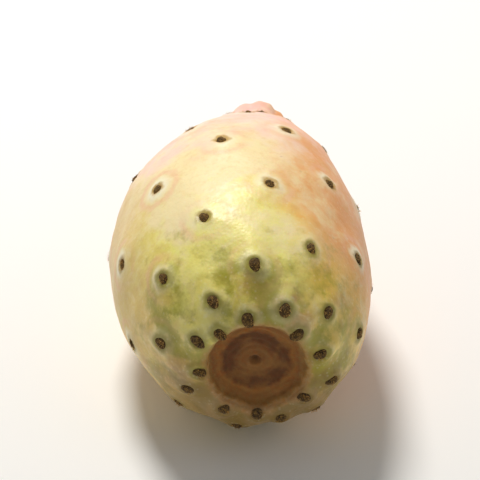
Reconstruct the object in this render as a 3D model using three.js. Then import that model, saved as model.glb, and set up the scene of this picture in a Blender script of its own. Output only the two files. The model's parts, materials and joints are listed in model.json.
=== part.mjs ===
// A prickly pear, the fruit of a cactus, as picked and lying on its side.
// Millimetres, +Z up. It rests on z = 0 and its box is centred on the Z axis. The crown, the dished
// scar where the flower stood, faces -Y, and the stem end, where it was picked, faces +Y.
// It grew as one piece, so it is one solid: a spun outline, raised into a low tubercle under each
// areole. The areoles follow the spiral that cactus leaves grow in.
import * as THREE from "three";

// Driving dimensions.
const LENGTH = 81; // stem end to crown rim, along the fruit's axis
const WIDTH = 49.4; // across the belly, before the tubercles
const RIM_RADIUS = 10.8; // of the crown's rim
const NAVEL_DEPTH = 2.6; // of the dished scar, below that rim
const STEM_RADIUS = 4.8; // of the scar at the stem end
const STEM_DEPTH = 1.3; // of that scar's dish
const BOW = -3.6; // how far the belly leans sideways from a straight axis
const REST_TILT = 1.6; // degrees that the crown end is raised, lying at its balance
const FLAT_DEPTH = 0.9; // how much of the underside is pressed flat where it lies

// Areoles, counted from the crown's rim back to the stem.
const AREOLES = 68;
const DIVERGENCE = 137.6; // degrees between one areole and the next, near the golden angle
const FIRST_AREOLE_ANGLE = -41.6; // degrees from the top of the fruit, for areole 0 at the rim
const CROWDING = 46; // areoles in which the spiral covers most of the fruit: they crowd the crown
const CROWDING_POWER = 2.2; // how sharply they crowd it

// The tubercle under an areole: its height, and how far it spreads each way. At the crown it is a
// rib that runs back towards the stem. The change starts and ends at these shares of the skin's length.
const BELLY_TUBERCLE = { height: 0.32, crownwards: 4.6, stemwards: 5.2, sideways: 4.6 };
const CROWN_TUBERCLE = { height: 1.05, crownwards: 1.9, stemwards: 7.5, sideways: 2.5 };
const CROWN_STARTS = 0.72;
const CROWN_ENDS = 0.97;

// Folds that pinch the neck at the stem end.
const FOLDS = 7;
const FOLD_DEPTH = 0.55;
const FOLD_LENGTH = 10;

// Slow waves round the skin, which make it less than round. A twist turns one along its length. Both
// are hollow at the underside, the flatter side that the fruit lies on.
const WAVES = [
  { count: 2, height: 0.35, phase: -1.57, twist: 0 },
  { count: 3, height: 0.4, phase: -0.63, twist: 4 },
];

// Mesh fineness: rows along the outline, columns around the axis.
const ROWS = 62;
const COLUMNS = 68;
const ARC_SAMPLES = 600;

const { lerp, smoothstep, clamp, degToRad } = THREE.MathUtils;

// Half of the lengthwise section: x is the distance from the stem end, y the distance from the axis.
const stemScar = [
  [STEM_DEPTH, 0],
  [0.85 * STEM_DEPTH, 0.45 * STEM_RADIUS],
  [0.4 * STEM_DEPTH, 0.8 * STEM_RADIUS],
  [0, STEM_RADIUS],
];
const flank = [
  [0.012, 0.236],
  [0.057, 0.276],
  [0.127, 0.396],
  [0.204, 0.576],
  [0.293, 0.756],
  [0.393, 0.896],
  [0.506, 0.98],
  [0.617, 1],
  [0.729, 0.975],
  [0.827, 0.894],
  [0.902, 0.785],
  [0.953, 0.657],
  [0.987, 0.532],
].map(([along, across]) => [along * LENGTH, (across * WIDTH) / 2]);
const crown = [
  [LENGTH, RIM_RADIUS],
  [LENGTH - 0.14 * NAVEL_DEPTH, 0.89 * RIM_RADIUS],
  [LENGTH - 0.62 * NAVEL_DEPTH, 0.78 * RIM_RADIUS],
  [LENGTH - 0.9 * NAVEL_DEPTH, 0.55 * RIM_RADIUS],
  [LENGTH - 0.98 * NAVEL_DEPTH, 0.27 * RIM_RADIUS],
  [LENGTH - NAVEL_DEPTH, 0],
];
const outlinePoints = [...stemScar, ...flank, ...crown];
const outline = new THREE.SplineCurve(outlinePoints.map(([x, y]) => new THREE.Vector2(x, y)));

// The outline's parameter at the stem scar's edge and at the crown's rim. The relief fades in over
// a little of it round the first, and out just past the second, so that both scars stay smooth.
const stemEdge = (stemScar.length - 1) / (outlinePoints.length - 1);
const rimCrest = (stemScar.length + flank.length) / (outlinePoints.length - 1);
const STEM_FADE = 0.04;
const NAVEL_FADE = 0.07;

// Lengths along the skin, measured on the outline from its start.
const arcLengths = [0];
for (let i = 1; i <= ARC_SAMPLES; i++) {
  const step = outline.getPoint(i / ARC_SAMPLES).distanceTo(outline.getPoint((i - 1) / ARC_SAMPLES));
  arcLengths.push(arcLengths[i - 1] + step);
}

function arcAt(t) {
  const place = clamp(t, 0, 1) * ARC_SAMPLES;
  const i = Math.min(Math.floor(place), ARC_SAMPLES - 1);
  return lerp(arcLengths[i], arcLengths[i + 1], place - i);
}

const stemEdgeArc = arcAt(stemEdge);
const skinLength = arcAt(rimCrest) - stemEdgeArc; // stem scar's edge to the rim's crest

// Each areole's place, as its distance along the skin from the stem scar and its angle round the
// axis, and the tubercle under it.
const areoles = Array.from({ length: AREOLES }, (_, m) => {
  const share = Math.exp(-((m / CROWDING) ** CROWDING_POWER));
  const nearCrown = smoothstep(share, CROWN_STARTS, CROWN_ENDS);
  const blend = (key) => lerp(BELLY_TUBERCLE[key], CROWN_TUBERCLE[key], nearCrown);
  return {
    along: share * skinLength,
    angle: degToRad(FIRST_AREOLE_ANGLE - m * DIVERGENCE),
    height: blend("height"),
    crownwards: blend("crownwards"),
    stemwards: blend("stemwards"),
    sideways: blend("sideways"),
  };
});

const wrapped = (angle) => Math.atan2(Math.sin(angle), Math.cos(angle));
const bell = (distance, width) => Math.exp(-((distance / width) ** 2));

function tubercles(along, angle, radius) {
  let height = 0;
  for (const areole of areoles) {
    const ahead = along - areole.along;
    const spread = ahead > 0 ? areole.crownwards : areole.stemwards;
    const aside = radius * wrapped(angle - areole.angle);
    height += areole.height * bell(ahead, spread) * bell(aside, areole.sideways);
  }
  return height;
}

function foldsAndWaves(along, angle) {
  const share = clamp(along / skinLength, 0, 1);
  const pinch = ((1 + Math.cos(FOLDS * angle + 1)) / 2) ** 2;
  let height = -FOLD_DEPTH * pinch * bell(along, FOLD_LENGTH);
  for (const wave of WAVES) {
    const turn = wave.count * angle + wave.phase + wave.twist * share;
    height += wave.height * Math.sin(turn) * Math.sin(Math.PI * share);
  }
  return height;
}

// A point of the skin, at outline parameter t and at an angle round the axis from straight up.
function skinPoint(t, angle) {
  const point = outline.getPoint(t);
  const tangent = outline.getTangent(t);
  const along = arcAt(t) - stemEdgeArc;
  const offStem = smoothstep(t, stemEdge - STEM_FADE, stemEdge + STEM_FADE);
  const offNavel = 1 - smoothstep(t, rimCrest, rimCrest + NAVEL_FADE);
  const relief = tubercles(along, angle, point.y) + foldsAndWaves(along, angle);
  const raised = relief * offStem * offNavel;
  const fromStem = point.x - tangent.y * raised;
  const fromAxis = point.y + tangent.x * raised;
  const share = clamp(fromStem / LENGTH, 0, 1);
  const lean = 4 * BOW * share * (1 - share);
  return new THREE.Vector3(
    fromAxis * Math.sin(angle) + lean,
    LENGTH / 2 - fromStem,
    fromAxis * Math.cos(angle),
  );
}

function skinPoints() {
  const points = [skinPoint(0, 0)];
  for (let i = 1; i < ROWS; i++) {
    for (let j = 0; j < COLUMNS; j++) {
      points.push(skinPoint(i / ROWS, (j / COLUMNS) * 2 * Math.PI));
    }
  }
  points.push(skinPoint(1, 0));
  return points;
}

// Lays the fruit on z = 0 at its balance, with the contact pressed flat, and centres its box.
function settle(points) {
  const level = new THREE.Matrix4().makeRotationX(degToRad(-REST_TILT));
  for (const point of points) point.applyMatrix4(level);
  const box = new THREE.Box3().setFromPoints(points);
  const centre = box.getCenter(new THREE.Vector3());
  for (const point of points) {
    point.x -= centre.x;
    point.y -= centre.y;
    point.z = Math.max(point.z - box.min.z - FLAT_DEPTH, 0);
  }
}

// Rings of quads between two poles, each quad split in two, facing out.
function closedRings() {
  const at = (i, j) => 1 + (i - 1) * COLUMNS + (j % COLUMNS);
  const last = 1 + (ROWS - 1) * COLUMNS;
  const faces = [];
  for (let j = 0; j < COLUMNS; j++) {
    faces.push(0, at(1, j), at(1, j + 1));
    for (let i = 1; i < ROWS - 1; i++) {
      faces.push(at(i, j), at(i + 1, j), at(i + 1, j + 1));
      faces.push(at(i, j), at(i + 1, j + 1), at(i, j + 1));
    }
    faces.push(last, at(ROWS - 1, j + 1), at(ROWS - 1, j));
  }
  return faces;
}

function fruitGeometry() {
  const points = skinPoints();
  settle(points);
  const geometry = new THREE.BufferGeometry().setFromPoints(points);
  geometry.setIndex(closedRings());
  geometry.computeVertexNormals();
  return geometry;
}

const skin = new THREE.MeshStandardMaterial({ color: 0xe0c87c, roughness: 0.45, metalness: 0 });

const fruit = new THREE.Mesh(fruitGeometry(), skin);
fruit.name = "fruit";

const part = new THREE.Group();
part.add(fruit);

export default part;
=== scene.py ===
"""The looks of a prickly pear, the fruit of a cactus, lying on its side.

The skin is built here again from the CAD model's driving dimensions, on a finer grid, with the areoles'
hollows, the crown's scar and the stem scar worked into it. Cushions of felt and tufts of short bristles
fill the areoles. Shapes are worked out in millimetres, and become metres where a mesh is made.
"""

import json
import math

import bpy
import numpy as np
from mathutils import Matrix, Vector

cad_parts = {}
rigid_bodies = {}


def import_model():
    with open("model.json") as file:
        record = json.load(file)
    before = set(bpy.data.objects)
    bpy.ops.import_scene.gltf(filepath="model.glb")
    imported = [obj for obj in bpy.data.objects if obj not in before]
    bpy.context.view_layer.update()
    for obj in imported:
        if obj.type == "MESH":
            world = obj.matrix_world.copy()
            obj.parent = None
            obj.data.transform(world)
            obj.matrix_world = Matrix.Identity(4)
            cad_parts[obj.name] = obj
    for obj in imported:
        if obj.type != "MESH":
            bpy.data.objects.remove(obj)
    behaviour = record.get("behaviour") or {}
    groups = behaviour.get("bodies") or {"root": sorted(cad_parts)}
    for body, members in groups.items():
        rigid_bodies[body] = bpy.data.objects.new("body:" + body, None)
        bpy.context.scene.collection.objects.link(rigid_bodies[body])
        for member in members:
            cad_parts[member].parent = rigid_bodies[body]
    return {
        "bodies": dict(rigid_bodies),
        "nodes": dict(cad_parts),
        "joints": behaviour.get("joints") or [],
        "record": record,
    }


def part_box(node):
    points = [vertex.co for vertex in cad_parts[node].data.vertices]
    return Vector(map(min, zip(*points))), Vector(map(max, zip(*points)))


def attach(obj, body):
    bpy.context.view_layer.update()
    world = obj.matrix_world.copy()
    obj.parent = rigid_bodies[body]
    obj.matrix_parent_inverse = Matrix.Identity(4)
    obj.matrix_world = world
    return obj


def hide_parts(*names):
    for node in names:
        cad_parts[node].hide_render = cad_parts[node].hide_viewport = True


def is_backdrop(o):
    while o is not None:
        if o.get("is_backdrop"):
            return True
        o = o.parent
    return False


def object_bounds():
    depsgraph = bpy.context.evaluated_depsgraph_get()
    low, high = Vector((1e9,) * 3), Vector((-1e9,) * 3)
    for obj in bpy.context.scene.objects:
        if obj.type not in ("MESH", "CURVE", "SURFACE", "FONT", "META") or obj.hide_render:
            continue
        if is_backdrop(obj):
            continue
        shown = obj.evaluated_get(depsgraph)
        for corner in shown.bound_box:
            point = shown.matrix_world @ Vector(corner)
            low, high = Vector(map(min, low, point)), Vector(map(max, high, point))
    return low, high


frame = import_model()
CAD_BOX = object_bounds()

MM = 0.001

# The CAD model's driving dimensions, in millimetres and degrees.
LENGTH = 81
WIDTH = 49.4
RIM_RADIUS = 10.8
NAVEL_DEPTH = 2.6
STEM_RADIUS = 4.8
STEM_DEPTH = 1.3
BOW = -3.6
REST_TILT = 1.6
AREOLES = 68
DIVERGENCE = 137.6
FIRST_AREOLE_ANGLE = -41.6
CROWDING = 46
CROWDING_POWER = 2.2
BELLY_TUBERCLE = {"height": 0.32, "crownwards": 4.6, "stemwards": 5.2, "sideways": 4.6}
CROWN_TUBERCLE = {"height": 1.05, "crownwards": 1.9, "stemwards": 7.5, "sideways": 2.5}
CROWN_STARTS = 0.72
CROWN_ENDS = 0.97
FOLDS = 7
FOLD_DEPTH = 0.55
FOLD_LENGTH = 10
WAVES = (  # count round the fruit, height, phase, twist
    (2, 0.35, -1.57, 0),
    (3, 0.4, -0.63, 4),
)
STEM_FADE = 0.04
NAVEL_FADE = 0.07

# Fineness of the skin's grid.
ROWS = 300
COLUMNS = 320


# Small functions on arrays.

def smoothstep(x, low, high):
    share = np.clip((x - low) / (high - low), 0, 1)
    return share * share * (3 - 2 * share)


def bell(distance, width):
    return np.exp(-((distance / width) ** 2))


def lerp(a, b, share):
    return a + (b - a) * share


def wrapped(angle):
    return np.arctan2(np.sin(angle), np.cos(angle))


def unit(vectors):
    return vectors / np.linalg.norm(vectors, axis=-1, keepdims=True)


class Noise:
    """Smooth noise in space, about -1 to 1, which changes over a distance of one wavelength."""

    SIDE = 32

    def __init__(self, seed):
        self.values = np.random.default_rng(seed).uniform(-1, 1, (self.SIDE,) * 3)

    def __call__(self, points, wavelength):
        place = np.asarray(points) / wavelength + 100
        corner = np.floor(place).astype(int)
        share = smoothstep(place - corner, 0, 1)
        total = 0
        for dx in (0, 1):
            for dy in (0, 1):
                for dz in (0, 1):
                    i, j, k = ((corner + (dx, dy, dz)) % self.SIDE).transpose((-1, *range(corner.ndim - 1)))
                    near = np.abs(np.array((1 - dx, 1 - dy, 1 - dz)) - share)
                    total = total + self.values[i, j, k] * near.prod(axis=-1)
        return total


lumps = Noise(3)
grain = Noise(5)
tufting = Noise(7)


# The outline: half of the lengthwise section, as the distance from the stem end and from the axis.

STEM_SCAR = np.array([(1, 0), (0.85, 0.45), (0.4, 0.8), (0, 1)]) * (STEM_DEPTH, STEM_RADIUS)
FLANK = np.array([
    (0.012, 0.236), (0.057, 0.276), (0.127, 0.396), (0.204, 0.576), (0.293, 0.756), (0.393, 0.896),
    (0.506, 0.98), (0.617, 1), (0.729, 0.975), (0.827, 0.894), (0.902, 0.785), (0.953, 0.657),
    (0.987, 0.532),
]) * (LENGTH, WIDTH / 2)
CROWN = np.array([(0, 1), (0.14, 0.89), (0.62, 0.78), (0.9, 0.55), (0.98, 0.27), (1, 0)])
CROWN = (LENGTH, 0) + CROWN * (-NAVEL_DEPTH, RIM_RADIUS)
OUTLINE = np.vstack([STEM_SCAR, FLANK, CROWN])
SPANS = len(OUTLINE) - 1
STEM_EDGE = (len(STEM_SCAR) - 1) / SPANS
RIM_CREST = (len(STEM_SCAR) + len(FLANK)) / SPANS


def outline_at(t):
    """The outline's point at parameter t, on a Catmull-Rom curve through its points."""
    place = np.asarray(t, float) * SPANS
    i = np.clip(np.floor(place).astype(int), 0, SPANS - 1)
    w = (place - i)[..., None]
    before, here, ahead, beyond = (OUTLINE[np.clip(i + k, 0, SPANS)] for k in (-1, 0, 1, 2))
    leave, arrive = (ahead - before) / 2, (beyond - here) / 2
    cubic = 2 * here - 2 * ahead + leave + arrive
    square = 3 * ahead - 3 * here - 2 * leave - arrive
    return cubic * w**3 + square * w**2 + leave * w + here


def outline_tangent(t):
    step = 1e-4
    return unit(outline_at(np.clip(t + step, 0, 1)) - outline_at(np.clip(t - step, 0, 1)))


ARC_T = np.linspace(0, 1, 2001)
ARC = np.concatenate([[0], np.cumsum(np.linalg.norm(np.diff(outline_at(ARC_T), axis=0), axis=1))])


def arc_at(t):
    return np.interp(t, ARC_T, ARC)


STEM_EDGE_ARC = arc_at(STEM_EDGE)
SKIN_LENGTH = arc_at(RIM_CREST) - STEM_EDGE_ARC


# The areoles.

def lattice():
    """Each areole's distance along the skin, its angle, and how near the crown it is, from 0 to 1."""
    count = np.arange(AREOLES)
    share = np.exp(-((count / CROWDING) ** CROWDING_POWER))
    angle = np.radians(FIRST_AREOLE_ANGLE - count * DIVERGENCE)
    return share * SKIN_LENGTH, angle, smoothstep(share, CROWN_STARTS, CROWN_ENDS)


AREOLE_ALONG, AREOLE_ANGLE, NEAR_CROWN = lattice()


def tubercles(along, angle, radius):
    height = np.zeros_like(along + angle)
    for place, turn, near in zip(AREOLE_ALONG, AREOLE_ANGLE, NEAR_CROWN):
        size = {key: lerp(BELLY_TUBERCLE[key], CROWN_TUBERCLE[key], near) for key in BELLY_TUBERCLE}
        ahead = along - place
        spread = np.where(ahead > 0, size["crownwards"], size["stemwards"])
        aside = radius * wrapped(angle - turn)
        height += size["height"] * bell(ahead, spread) * bell(aside, size["sideways"])
    return height


def folds_and_waves(along, angle):
    share = np.clip(along / SKIN_LENGTH, 0, 1)
    pinch = ((1 + np.cos(FOLDS * angle + 1)) / 2) ** 2
    height = -FOLD_DEPTH * pinch * bell(along, FOLD_LENGTH)
    for count, tall, phase, twist in WAVES:
        height = height + tall * np.sin(count * angle + phase + twist * share) * np.sin(np.pi * share)
    return height


def nearest_areole(along, angle, radius):
    """The distance along the skin to the nearest areole, in millimetres."""
    nearest = np.full(np.shape(along + angle), 1e3)
    for place, turn in zip(AREOLE_ALONG, AREOLE_ANGLE):
        nearest = np.minimum(nearest, np.hypot(along - place, radius * wrapped(angle - turn)))
    return nearest


def base_points(t, angle, fine=0.0):
    """Points of the CAD model's skin before it is laid down, raised by fine along the outline's normal."""
    place = outline_at(t)
    tangent = outline_tangent(t)
    along = arc_at(t) - STEM_EDGE_ARC
    off_stem = smoothstep(t, STEM_EDGE - STEM_FADE, STEM_EDGE + STEM_FADE)
    off_navel = 1 - smoothstep(t, RIM_CREST, RIM_CREST + NAVEL_FADE)
    relief = tubercles(along, angle, place[..., 1]) + folds_and_waves(along, angle)
    raised = relief * off_stem * off_navel + fine
    from_stem = place[..., 0] - tangent[..., 1] * raised
    from_axis = place[..., 1] + tangent[..., 0] * raised
    share = np.clip(from_stem / LENGTH, 0, 1)
    lean = 4 * BOW * share * (1 - share)
    x = from_axis * np.sin(angle) + lean
    return np.stack([x, LENGTH / 2 - from_stem, from_axis * np.cos(angle)], axis=-1)


def levelled(points):
    c, s = math.cos(math.radians(REST_TILT)), math.sin(math.radians(REST_TILT))
    x, y, z = np.moveaxis(points, -1, 0)
    return np.stack([x, c * y + s * z, c * z - s * y], axis=-1)


def laid(points):
    """Moves points as the CAD model was laid down: its box centred, with the contact pressed flat."""
    moved = levelled(points) + SHIFT
    moved[..., 2] = np.maximum(moved[..., 2], 0)
    return moved


def grid_angles(rows, columns):
    t = np.arange(1, rows) / rows
    angle = np.arange(columns) / columns * 2 * np.pi
    return np.meshgrid(t, angle, indexing="ij")


def shift_to_frame():
    """The move that lays the levelled fruit where the CAD node is."""
    low, high = (np.array(corner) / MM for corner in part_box("fruit"))
    points = levelled(base_points(*grid_angles(124, 136))).reshape(-1, 3)
    shift = (low + high) / 2 - (points.min(axis=0) + points.max(axis=0)) / 2
    shift[2] = high[2] - points[:, 2].max()
    return shift


SHIFT = shift_to_frame()


# Fine relief, in millimetres along the outline's normal.

def areole_hollow(gap):
    """A shallow hollow with a soft lip, at a distance gap from the areole's centre."""
    return 0.13 * bell(gap - 1.75, 0.5) - 0.32 * (1 - smoothstep(gap, 0.7, 1.5))


def navel_relief(t, angle, radius):
    """The flower scar: growth rings, wrinkles that run in from its rim, and the style's scar."""
    in_navel = smoothstep(t, RIM_CREST, RIM_CREST + 0.06)
    place = np.stack([radius * np.cos(angle), radius * np.sin(angle), 0 * radius], axis=-1)
    wander = 0.5 * lumps(place, 3.4)
    rings = 0.09 * np.cos(2 * np.pi * (radius + wander) / 1.35) * smoothstep(radius, 1.6, 2.6)
    spokes = np.stack([7 * np.cos(angle), 7 * np.sin(angle), radius / 5], axis=-1)
    wrinkles = 0.2 * grain(spokes, 1.1) * bell(radius - 7.8, 2.4)
    style = 0.3 * bell(radius - 1.35, 0.42) - 0.75 * bell(radius, 0.8)
    return in_navel * (rings + wrinkles + style + 0.07 * grain(place, 0.75))


def stem_relief(t, angle, radius):
    """The scar where the fruit was picked: a ragged edge, a ring of torn vessels and a sunken pith."""
    in_scar = 1 - smoothstep(t, STEM_EDGE - 0.03, STEM_EDGE + 0.005)
    place = np.stack([radius * np.cos(angle), radius * np.sin(angle), 0 * radius], axis=-1)
    vessels = 0.42 * bell(radius - 2.75, 0.62) * (0.62 + 0.38 * np.cos(11 * angle + 1.5 * lumps(place, 2.5)))
    pith = -0.7 * bell(radius, 1.5)
    torn = 0.2 * grain(place, 0.8) + 0.12 * grain(place, 0.4)
    edge = bell(t - STEM_EDGE, 0.013) * (0.22 + 0.34 * grain(place * (1, 1, 0), 1.9))
    return in_scar * (vessels + pith + torn) + edge


def neck_wrinkles(along, angle):
    """Fine creases that run along the neck, between its folds."""
    place = np.stack([3.2 * np.cos(angle), 3.2 * np.sin(angle), along / 6], axis=-1)
    return 0.3 * grain(place, 1.15) * bell(along, 11)


def fine_relief(t, angle):
    along = arc_at(t) - STEM_EDGE_ARC
    radius = outline_at(t)[..., 1]
    place = base_points(t, angle)
    on_skin = smoothstep(t, STEM_EDGE, STEM_EDGE + 0.02) * (1 - smoothstep(t, RIM_CREST, RIM_CREST + 0.05))
    slow = 0.28 * lumps(place, 8) + 0.1 * lumps(place, 3.4) + 0.03 * grain(place, 1.5)
    hollow = areole_hollow(nearest_areole(along, angle, radius))
    skin = on_skin * (slow + hollow + neck_wrinkles(along, angle))
    return skin + navel_relief(t, angle, radius) + stem_relief(t, angle, radius)


def skin_points(t, angle):
    return laid(base_points(t, angle, fine_relief(t, angle)))


# Making meshes.

def new_piece(name, points, faces, material, attributes=None, smooth=True):
    """A mesh object from points in millimetres."""
    mesh = bpy.data.meshes.new(name)
    mesh.from_pydata((np.asarray(points) * MM).tolist(), [], faces)
    mesh.polygons.foreach_set("use_smooth", np.full(len(mesh.polygons), smooth))
    for key, values in (attributes or {}).items():
        mesh.attributes.new(key, "FLOAT", "POINT").data.foreach_set("value", np.asarray(values, np.float32))
    mesh.materials.append(material)
    mesh.validate()
    piece = bpy.data.objects.new(name, mesh)
    bpy.context.scene.collection.objects.link(piece)
    return piece


def ring_faces(rows, columns):
    """Faces between two poles and the rings between them, facing out."""
    j = np.arange(columns)
    beside = (j + 1) % columns
    first = 1 + j
    last = 1 + (rows - 2) * columns + j
    pole = 1 + (rows - 1) * columns
    faces = [(0, int(a), int(b)) for a, b in zip(first, 1 + beside)]
    for i in range(rows - 2):
        here = 1 + i * columns
        ahead = here + columns
        faces += [
            (int(here + a), int(ahead + a), int(ahead + b), int(here + b)) for a, b in zip(j, beside)
        ]
    faces += [(pole, int(b), int(a)) for a, b in zip(last, last - j + beside)]
    return faces


def with_poles(values, first, last):
    return np.concatenate([[first], values.reshape(-1, *values.shape[2:]), [last]])


def skin_piece(material):
    t, angle = grid_angles(ROWS, COLUMNS)
    ends = [(np.array([end]), np.array([0.0])) for end in (0.0, 1.0)]

    def everywhere(function):
        return with_poles(function(t, angle), *(function(*end)[0] for end in ends))

    points = everywhere(skin_points)
    attributes = {
        "share": everywhere(lambda t, angle: (arc_at(t) - STEM_EDGE_ARC) / SKIN_LENGTH),
        "side": everywhere(lambda t, angle: np.sin(angle)),
        "top": everywhere(lambda t, angle: np.cos(angle)),
        "from_axis": everywhere(lambda t, angle: outline_at(t)[..., 1]),
        "ridge": everywhere(
            lambda t, angle: tubercles(arc_at(t) - STEM_EDGE_ARC, angle, outline_at(t)[..., 1])
        ),
        "gap": everywhere(
            lambda t, angle: nearest_areole(arc_at(t) - STEM_EDGE_ARC, angle, outline_at(t)[..., 1])
        ),
    }
    return new_piece("fruit_skin", points, ring_faces(ROWS, COLUMNS), material, attributes)


# The areoles' cushions and bristles.

def areole_frames():
    """Each areole's place on the skin, and its directions towards the crown, sideways and outwards."""
    t = np.interp(AREOLE_ALONG + STEM_EDGE_ARC, ARC, ARC_T)
    here = skin_points(t, AREOLE_ANGLE)
    step = 0.02
    crownwards = unit(laid(base_points(t + 1e-3, AREOLE_ANGLE)) - laid(base_points(t - 1e-3, AREOLE_ANGLE)))
    sideways = unit(
        laid(base_points(t, AREOLE_ANGLE + step)) - laid(base_points(t, AREOLE_ANGLE - step))
    )
    outwards = unit(np.cross(crownwards, sideways))
    return here, crownwards, np.cross(outwards, crownwards), outwards


def put(local, frame):
    """Points given as crownwards, sideways and outwards distances from an areole, in its frame."""
    here, crownwards, sideways, outwards = frame
    return here + local[..., :1] * crownwards + local[..., 1:2] * sideways + local[..., 2:] * outwards


CUSHION_RINGS = 9
CUSHION_SPOKES = 22


def cushion(frame, size, seed):
    """A closed lens of felt: a tufted dome above, and a shallow cone down in the skin."""
    share = np.linspace(0, 1, CUSHION_RINGS + 1)[1:, None]
    turn = np.arange(CUSHION_SPOKES) / CUSHION_SPOKES * 2 * np.pi
    oval = 1 + 0.12 * np.cos(2 * turn) + 0.07 * np.cos(3 * turn + seed)
    along = size * share * np.cos(turn) * oval
    aside = 0.92 * size * share * np.sin(turn) * oval
    lift = 0.52 * size * (1 - share**2.4) + 0 * turn
    dome = np.stack([along, aside, lift - 0.2], axis=-1)
    tufts = tufting(dome + seed, 0.42) * 0.17 + tufting(dome + seed, 0.9) * 0.14
    dome[..., 2] += tufts * (1 - share**4)
    top = np.array([0, 0, 0.52 * size - 0.2])
    under = np.array([0, 0, -0.6])
    local = np.vstack([top, dome.reshape(-1, 3), under])
    return put(local, frame), ring_faces(CUSHION_RINGS + 1, CUSHION_SPOKES)


def joined(shapes):
    """One list of points and one of faces, from several."""
    points, faces, start = [], [], 0
    for shape_points, shape_faces in shapes:
        points.append(shape_points)
        faces += [tuple(start + i for i in face) for face in shape_faces]
        start += len(shape_points)
    return np.vstack(points), faces


def cushions_piece(frames, material):
    rng = np.random.default_rng(11)
    sizes = rng.uniform(1.35, 1.62, AREOLES)
    points, faces = joined(cushion(f, size, seed) for seed, (f, size) in enumerate(zip(frames, sizes)))
    points[:, 2] = np.maximum(points[:, 2], 0)
    return new_piece("areole_cushions", points, faces, material)


BRISTLES = 34  # in each areole
BRISTLE_RADIUS = 0.055
LOWEST_BRISTLE = 0.3  # bristles that would reach below this height have broken off


def bristle(base, direction, length):
    """A closed three-sided spike."""
    across = unit(np.cross(direction, (0.31, 0.52, 0.79)))
    turns = np.arange(3)[:, None] / 3 * 2 * np.pi
    ring = base + BRISTLE_RADIUS * (np.cos(turns) * across + np.sin(turns) * np.cross(direction, across))
    return np.vstack([ring, base + length * direction]), [(0, 1, 3), (1, 2, 3), (2, 0, 3), (2, 1, 0)]


def tuft(frame, rng):
    """An areole's bristles. They lean towards the crown and spread."""
    for _ in range(BRISTLES):
        turn, away = rng.uniform(0, 2 * np.pi), 0.95 * math.sqrt(rng.uniform())
        foot = np.array([away * math.cos(turn) + 0.15, away * math.sin(turn), 0.3 - 0.25 * away])
        lean = np.array([rng.normal(0.35, 0.4), rng.normal(0, 0.45), 1.0]) + 0.5 * foot * (1, 1, 0)
        length = rng.uniform(0.45, 0.95)
        base = put(foot, frame)
        direction = unit(put(lean, frame) - frame[0])
        if (base + length * direction)[2] > LOWEST_BRISTLE:
            yield bristle(base, direction, length)


def bristles_piece(frames, material):
    rng = np.random.default_rng(23)
    points, faces = joined(spike for f in frames for spike in tuft(f, rng))
    return new_piece("bristles", points, faces, material, smooth=False)


# Materials.

def colour(red, green, blue):
    """A colour given as 0 to 255 on a screen, as Blender's nodes take it."""
    shares = np.array([red, green, blue]) / 255
    linear = np.where(shares <= 0.04045, shares / 12.92, ((shares + 0.055) / 1.055) ** 2.4)
    return (*linear.tolist(), 1.0)


class Finish:
    """A material under construction. Each method adds a node and gives its output."""

    def __init__(self, name):
        self.material = bpy.data.materials.new(name)
        self.material.use_nodes = True
        self.tree = self.material.node_tree
        self.surface = self.tree.nodes["Principled BSDF"]
        self.place = self.add("TexCoord", "Object")

    def add(self, kind, output=0, inputs=None, **settings):
        node = self.tree.nodes.new("ShaderNode" + kind)
        for key, value in settings.items():
            setattr(node, key, value)
        for key, value in (inputs or {}).items():
            self.feed(node.inputs[key], value)
        return node.outputs[output]

    def feed(self, socket, value):
        if isinstance(value, bpy.types.NodeSocket):
            self.tree.links.new(value, socket)
        else:
            socket.default_value = value

    def set(self, **sockets):
        for key, value in sockets.items():
            self.feed(self.surface.inputs[key.replace("_", " ")], value)

    def attribute(self, name):
        return self.add("Attribute", "Fac", attribute_name=name)

    def sum(self, a, b):
        return self.add("Math", inputs={0: a, 1: b}, operation="ADD")

    def product(self, a, b):
        return self.add("Math", inputs={0: a, 1: b}, operation="MULTIPLY")

    def fade(self, value, low, high, start=0.0, end=1.0):
        """From start to end, smoothly, as value goes from low to high."""
        inputs = {"Value": value, "From Min": low, "From Max": high, "To Min": start, "To Max": end}
        return self.add("MapRange", inputs=inputs, interpolation_type="SMOOTHSTEP")

    def mix(self, share, a, b, blend="MIX"):
        inputs = {0: share, 6: a, 7: b}
        return self.add("Mix", 2, inputs, data_type="RGBA", blend_type=blend, clamp_factor=True)

    def ramp(self, value, stops):
        node = self.tree.nodes.new("ShaderNodeValToRGB")
        elements = node.color_ramp.elements
        while len(elements) < len(stops):
            elements.new(0.5)
        for element, (place, tint) in zip(elements, stops):
            element.position = place
            element.color = tint
        self.feed(node.inputs[0], value)
        return node.outputs[0]

    def noise(self, size, detail=3.0, roughness=0.5, distortion=0.0):
        """Noise whose features are about size millimetres across, from 0 to 1."""
        inputs = {
            "Vector": self.place,
            "Scale": 1 / (size * MM),
            "Detail": detail,
            "Roughness": roughness,
            "Distortion": distortion,
        }
        return self.add("TexNoise", inputs=inputs)

    def cells(self, size, feature="F1", output="Distance", randomness=1.0):
        inputs = {"Vector": self.place, "Scale": 1 / (size * MM), "Randomness": randomness}
        return self.add("TexVoronoi", output, inputs, feature=feature)

    def bump(self, height, depth, normal=None):
        """Bumps that are depth millimetres tall."""
        inputs = {"Height": height, "Distance": depth * MM}
        if normal is not None:
            inputs["Normal"] = normal
        return self.add("Bump", inputs=inputs)


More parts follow.
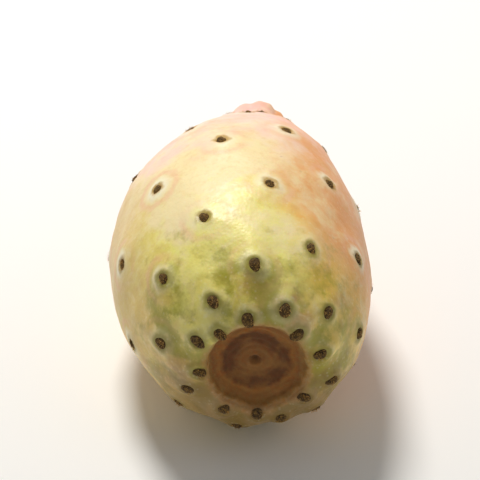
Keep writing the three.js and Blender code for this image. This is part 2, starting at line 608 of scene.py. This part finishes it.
TIP_PINK = colour(250, 198, 186)
BLUSH_CREAM = colour(251, 218, 194)
CREAM = colour(250, 231, 176)
LEMON = colour(246, 236, 132)
YELLOW_GREEN = colour(226, 212, 92)
OLIVE = colour(190, 164, 76)
# A darker olive tan, used as painted shade on the crown's underside.
SHADED_OLIVE_TAN = colour(138, 102, 42)
ORANGE_TAN = colour(240, 156, 76)
PEACH = colour(244, 186, 150)
YELLOW_TAN = colour(226, 184, 104)
FURROW_GREEN = colour(164, 158, 28)
RIDGE_PALE = colour(250, 244, 184)
HALO = colour(252, 244, 214)
OCHRE = colour(190, 148, 56)
LIME_OLIVE = colour(150, 140, 24)
SCAR_DARK = colour(106, 68, 30)
SCAR_BROWN = colour(140, 98, 48)
SCAR_ORANGE = colour(158, 110, 50)
SCAR_OLIVE = colour(156, 122, 66)
SCAR_TAN = colour(206, 162, 118)
CORK = colour(168, 126, 82)
PITH_DARK = colour(58, 44, 26)
PITH_PALE = colour(176, 150, 104)


def skin_colour(f):
    """Pink at the stem, cream on the belly, green at the crown, orange and tan down the sides."""
    share, side, top = f.attribute("share"), f.attribute("side"), f.attribute("top")
    patches = f.noise(14, 3, 0.55, 0.4)
    mottle = f.noise(3.4, 5, 0.62)
    wander = f.sum(f.fade(patches, 0.2, 0.8, -0.16, 0.16), f.fade(mottle, 0.2, 0.8, -0.06, 0.06))
    along = f.ramp(f.sum(share, f.product(wander, 0.8)), [
        (0.0, TIP_PINK), (0.24, TIP_PINK), (0.42, BLUSH_CREAM), (0.56, CREAM), (0.68, CREAM), (0.8, LEMON),
        (0.93, YELLOW_GREEN), (1.0, OLIVE),
    ])
    rosy = f.product(f.fade(f.noise(8, 4, 0.6), 0.45, 0.7), f.fade(share, 0.25, 0.7, 0.6, 0))
    tint = f.mix(rosy, along, PEACH)
    right = f.fade(f.sum(f.sum(side, f.product(wander, 1.6)), f.product(top, -0.1)), 0.1, 0.7)
    tint = f.mix(f.product(right, f.fade(share, 0.68, 0.92, 0.9, 0.25)), tint, ORANGE_TAN)
    left = f.fade(f.sum(f.sum(f.product(side, -1), f.product(wander, 1.6)), f.product(top, -0.3)), 0.4, 1.1)
    tint = f.mix(f.product(left, 0.65), tint, YELLOW_TAN)
    # Tanner and darker towards the underside: partly painted shade, partly the skin's own colour.
    under = f.fade(f.sum(top, f.product(wander, 1.5)), -0.1, -0.7)
    tint = f.mix(f.product(under, 0.4), tint, f.mix(mottle, ORANGE_TAN, YELLOW_GREEN))
    flecks = f.fade(f.noise(1.5, 5, 0.7), 0.46, 0.7)
    tint = f.mix(f.product(flecks, f.fade(patches, 0.35, 0.65, 0.08, 0.4)), tint, YELLOW_TAN)
    pale = f.fade(f.noise(5.5, 4, 0.65, 0.6), 0.5, 0.68)
    tint = f.mix(f.product(pale, 0.38), tint, CREAM)
    return tint


def crown_ribs(f, tint):
    """Lime and olive furrows between the pale ribs that run back from the crown's areoles."""
    height = f.sum(f.attribute("ridge"), f.fade(f.noise(2.6, 4, 0.6), 0.2, 0.8, -0.3, 0.3))
    ragged = f.fade(f.noise(6, 4, 0.6), 0.2, 0.8, -0.14, 0.14)
    near = f.fade(f.sum(f.attribute("share"), ragged), 0.78, 0.98)
    tint = f.mix(f.product(f.fade(height, 0.72, 0.32), f.product(near, 0.85)), tint, FURROW_GREEN)
    return f.mix(f.product(f.fade(height, 0.85, 1.2), f.product(near, 0.6)), tint, RIDGE_PALE)


def painted_shade_below(f, tint):
    """Olive tan on the crown's underside: painted shade, and partly the skin's own colour."""
    ragged = f.fade(f.noise(5, 4, 0.65), 0.2, 0.8, -0.35, 0.35)
    low = f.fade(f.sum(f.attribute("top"), ragged), 0.25, -0.6)
    # Painted shade: the underside near the crown is mixed towards olive tan.
    return f.mix(f.product(low, f.fade(f.attribute("share"), 0.72, 0.96, 0, 0.8)), tint, SHADED_OLIVE_TAN)


def round_areoles(f, tint):
    """Pale halos round the areoles, some clearer than others, and a golden or olive lip inside."""
    share = f.attribute("share")
    gap = f.sum(f.attribute("gap"), f.fade(f.noise(1.8, 3), 0, 1, -0.6, 0.6))
    some = f.fade(f.noise(12, 1), 0.42, 0.58, 0.2, 0.85)
    clear = f.product(some, f.product(f.fade(share, 0.2, 0.6, 0.3, 1), f.fade(share, 0.72, 0.95, 1, 0.3)))
    tint = f.mix(f.product(f.fade(gap, 1.8, 3.9, 1, 0), clear), tint, HALO)
    ring = f.product(f.fade(gap, 3.4, 4.4), f.fade(gap, 4.7, 5.8, 1, 0))
    tint = f.mix(f.product(f.product(ring, clear), 0.5), tint, PEACH)
    lip = f.mix(f.fade(share, 0.6, 0.85), OCHRE, LIME_OLIVE)
    return f.mix(f.product(f.fade(gap, 1.2, f.fade(share, 0.7, 0.95, 2.2, 3.0), 1, 0), 0.85), tint, lip)


def speckled(f, tint):
    """Fine pale pores, and a few small brown blemishes."""
    pores = f.fade(f.cells(1.1), 0.1, 0.3, 1, 0)
    tint = f.mix(f.product(pores, 0.14), tint, HALO)
    few = f.fade(f.noise(17, 2), 0.55, 0.68)
    spots = f.fade(f.cells(4.1), 0.05, 0.1, 1, 0)
    return f.mix(f.product(f.product(spots, few), 0.55), tint, SCAR_BROWN)


def with_scars(f, tint):
    """The navel, from the style's scar at its middle out to its tan rim, and the corky stem scar."""
    share = f.attribute("share")
    from_axis = f.sum(f.attribute("from_axis"), f.fade(f.noise(2.6, 4, 0.6), 0, 1, -1.1, 1.1))
    # The pale tan at the rim's crest is partly a painted highlight, partly the scar's own tan.
    navel = f.ramp(f.product(from_axis, 1 / RIM_RADIUS), [
        (0.0, PITH_DARK), (0.07, SCAR_DARK), (0.15, SCAR_BROWN), (0.27, SCAR_BROWN), (0.42, SCAR_DARK),
        (0.58, SCAR_DARK), (0.68, SCAR_ORANGE), (0.78, SCAR_BROWN), (0.86, SCAR_OLIVE), (0.94, SCAR_TAN),
    ])
    crust = f.noise(0.8, 5, 0.65)
    navel = f.mix(f.fade(crust, 0.35, 0.7, 0, 0.8), navel, SCAR_TAN, "SOFT_LIGHT")
    navel = f.mix(f.fade(f.noise(4, 4, 0.6), 0.42, 0.68, 0, 0.6), navel, SCAR_ORANGE)
    edge = f.product(f.fade(share, 0.98, 1.0), f.fade(from_axis, 9.0, 11.4, 1, 0))
    tint = f.mix(edge, tint, navel)
    cork = f.ramp(f.product(from_axis, 1 / STEM_RADIUS), [
        (0.0, PITH_DARK), (0.3, PITH_DARK), (0.45, PITH_PALE), (0.62, CORK), (0.8, SCAR_BROWN), (0.95, CORK),
    ])
    cork = f.mix(f.fade(crust, 0.3, 0.8, 0, 0.7), cork, PITH_PALE, "OVERLAY")
    return f.mix(f.fade(share, -0.012, 0.004, 1, 0), tint, cork)


def skin_finish():
    f = Finish("skin")
    share = f.attribute("share")
    scars = f.sum(f.fade(share, 0.99, 1.01), f.fade(share, -0.01, 0.004, 1, 0))
    bloom = f.fade(f.noise(9, 4, 0.6), 0.35, 0.75)
    tint = speckled(f, painted_shade_below(f, round_areoles(f, crown_ribs(f, skin_colour(f)))))
    tint = f.mix(f.product(bloom, 0.07), tint, colour(255, 252, 246))
    waxy = f.sum(f.fade(f.noise(1.1, 4), 0.3, 0.7, 0.36, 0.48), f.product(bloom, 0.08))
    slow = f.bump(f.noise(2.4, 3), 0.12)
    pebbles = f.bump(f.cells(0.62, "SMOOTH_F1"), 0.035, slow)
    crust = f.bump(f.product(f.noise(0.45, 5, 0.65), f.fade(scars, 0, 1, 0.08, 1)), 0.16, pebbles)
    f.set(Base_Color=with_scars(f, tint), Roughness=f.sum(waxy, f.product(scars, 0.35)), Normal=crust)
    f.set(Subsurface_Weight=0.12, Subsurface_Radius=(0.0030, 0.0017, 0.0008), Subsurface_Scale=1.0)
    return f.material


def felt_finish():
    f = Finish("felt")
    clumps = f.noise(0.5, 4, 0.7)
    tint = f.ramp(clumps, [
        (0.3, colour(38, 27, 13)),
        (0.5, colour(84, 62, 28)),
        (0.68, colour(146, 112, 52)),
        (0.8, colour(196, 160, 86)),
    ])
    f.set(Base_Color=tint, Roughness=0.95, Normal=f.bump(f.noise(0.16, 3), 0.12))
    f.set(Sheen_Weight=0.15, Sheen_Tint=colour(214, 172, 96))
    return f.material


def bristle_finish():
    f = Finish("bristle")
    f.set(Base_Color=f.mix(f.noise(1.2, 3), colour(240, 200, 116), colour(186, 132, 58)), Roughness=0.5)
    return f.material


# The studio. Its lights and camera are placed in metres.

FLOOR_REACH = 3000  # millimetres each way
FLOOR_DROP = 0.05  # millimetres that the floor lies below the fruit, so that they don't coincide
WORLD_STRENGTH = 0.25
KEY_PLACE = (-0.1, 0.26, 0.5)  # behind the fruit and above it, so that the crown end is in shade
KEY_SIZE = 0.17
KEY_WATTS = 2.7
FILL_PLACE = (0.4, -0.2, 0.4)
FILL_SIZE = 0.4
FILL_WATTS = 0.2


def floor_piece():
    f = Finish("floor")
    f.set(Base_Color=f.mix(f.noise(160, 2), colour(249, 249, 248), colour(253, 253, 252)), Roughness=0.85)
    turns = ((-1, -1), (1, -1), (1, 1), (-1, 1))
    corners = [(x * FLOOR_REACH, y * FLOOR_REACH, -FLOOR_DROP) for x, y in turns]
    return new_piece("floor", corners, [(0, 1, 2, 3)], f.material, smooth=False)


WARM = (1.0, 0.965, 0.91)


def soft_light(name, place, target, size, watts):
    lamp = bpy.data.lights.new(name, "AREA")
    lamp.shape = "DISK"
    lamp.size = size
    lamp.energy = watts
    lamp.color = WARM
    light = bpy.data.objects.new(name, lamp)
    light.location = place
    light.rotation_euler = (Vector(target) - Vector(place)).to_track_quat("-Z", "Y").to_euler()
    bpy.context.scene.collection.objects.link(light)


def studio(middle):
    world = bpy.data.worlds.new("studio")
    bpy.context.scene.world = world
    world.use_nodes = True
    sky = world.node_tree.nodes["Background"].inputs
    sky["Color"].default_value = (1, 1, 1, 1)
    sky["Strength"].default_value = WORLD_STRENGTH
    soft_light("key", KEY_PLACE, middle, KEY_SIZE, KEY_WATTS)
    soft_light("fill", FILL_PLACE, middle, FILL_SIZE, FILL_WATTS)
    bpy.context.scene.view_settings.view_transform = "Standard"


CAMERA_ELEVATION = 37.5  # degrees above level, as in the photograph
CAMERA_DISTANCE = 1.3  # metres
CAMERA_LENS = 500  # millimetres


def camera(middle):
    lens = bpy.data.cameras.new("camera")
    lens.lens = CAMERA_LENS
    lens.clip_start = 0.01
    eye = bpy.data.objects.new("camera", lens)
    rise = math.radians(CAMERA_ELEVATION)
    eye.location = Vector(middle) + CAMERA_DISTANCE * Vector((0, -math.cos(rise), math.sin(rise)))
    eye.rotation_euler = (math.radians(90) - rise, 0, 0)
    bpy.context.scene.collection.objects.link(eye)
    bpy.context.scene.camera = eye


# The object.

def build():
    frames = list(zip(*areole_frames()))
    skin = skin_piece(skin_finish())
    cushions = cushions_piece(frames, felt_finish())
    bristles = bristles_piece(frames, bristle_finish())
    for piece in (skin, cushions, bristles):
        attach(piece, "root")
    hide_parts("fruit")


def write_sizes():
    boxes = {"cad": CAD_BOX, "visual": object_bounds()}
    sizes = {name: [list(corner) for corner in box] for name, box in boxes.items()}


build()
floor_piece()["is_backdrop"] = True
low, high = CAD_BOX
middle = ((low + high) / 2)[:]
studio(middle)
camera(middle)
write_sizes()
